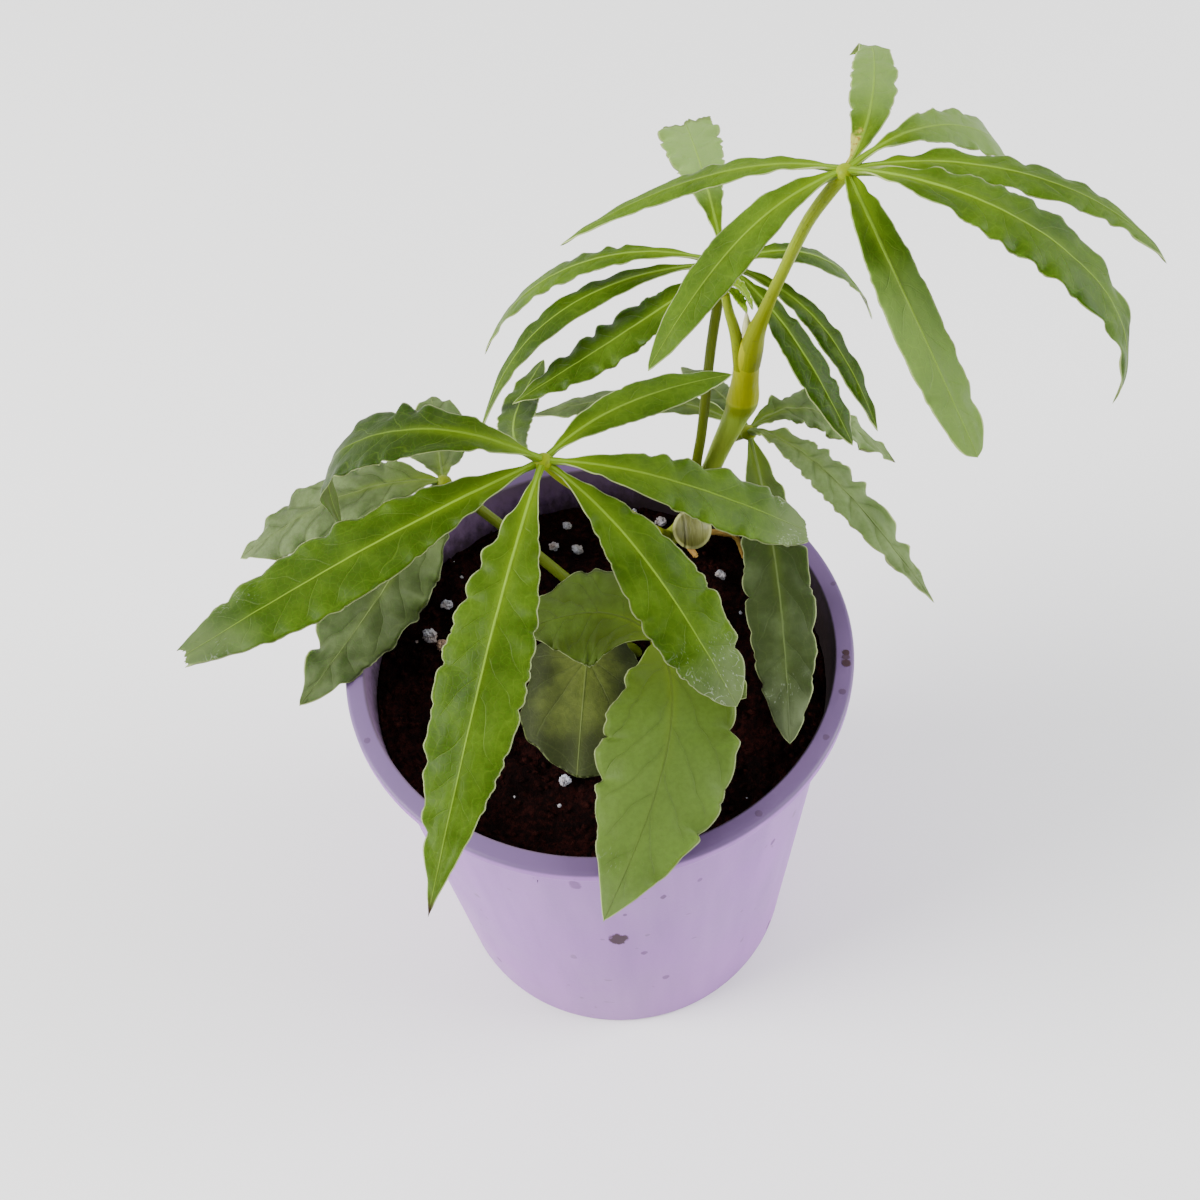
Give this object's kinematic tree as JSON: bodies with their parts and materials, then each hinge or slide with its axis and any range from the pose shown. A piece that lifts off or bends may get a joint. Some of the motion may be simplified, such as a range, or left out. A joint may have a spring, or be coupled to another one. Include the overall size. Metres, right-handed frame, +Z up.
{
  "type": "potted anthurium",
  "caption": "Young palmate-leaved anthurium with arching waved leaflets on thin stalks, growing in a filled round nursery pot.",
  "frame": {"origin": "centre of the flat underside of the pot's foot", "axes": "+Z up along the pot's axis; the picture looks from above on the -Y side, so +X is its right"},
  "size_m": [0.2035, 0.1647, 0.2332],
  "materials": {
    "pot_plastic": "smooth thin lilac plastic with a soft sheen",
    "potting_soil": "damp dark crumbled peat",
    "perlite": "rough white mineral grain",
    "upper_leaf": "fresh green leaf with a soft sheen and pale midribs",
    "lower_leaf": "older greyish green leaf, nearly matte",
    "stem_green": "smooth olive to yellow green living stem",
    "sheath_olive": "dry olive sheath with fine lengthwise lines",
    "aerial_root": "tan orange root, matte"
  },
  "bodies": {
    "root": {"pot": "pot_plastic", "soil": "potting_soil", "stem": "stem_green", "stem_scale": "stem_green", "sheath": "sheath_olive", "leaf_front": "upper_leaf", "leaf_top": "upper_leaf", "leaf_back": "upper_leaf", "leaf_young": "upper_leaf", "leaf_right": "lower_leaf", "leaf_left": "lower_leaf", "leaf_three_lobed": "lower_leaf", "leaf_heart": "lower_leaf", "root_left": "aerial_root", "root_right": "aerial_root", "root_stub": "aerial_root", "perlite_1": "perlite", "perlite_2": "perlite", "perlite_3": "perlite", "perlite_4": "perlite", "perlite_5": "perlite", "perlite_6": "perlite", "perlite_7": "perlite", "perlite_8": "perlite", "perlite_9": "perlite", "perlite_10": "perlite", "perlite_11": "perlite", "perlite_12": "perlite"}
  },
  "joints": []
}
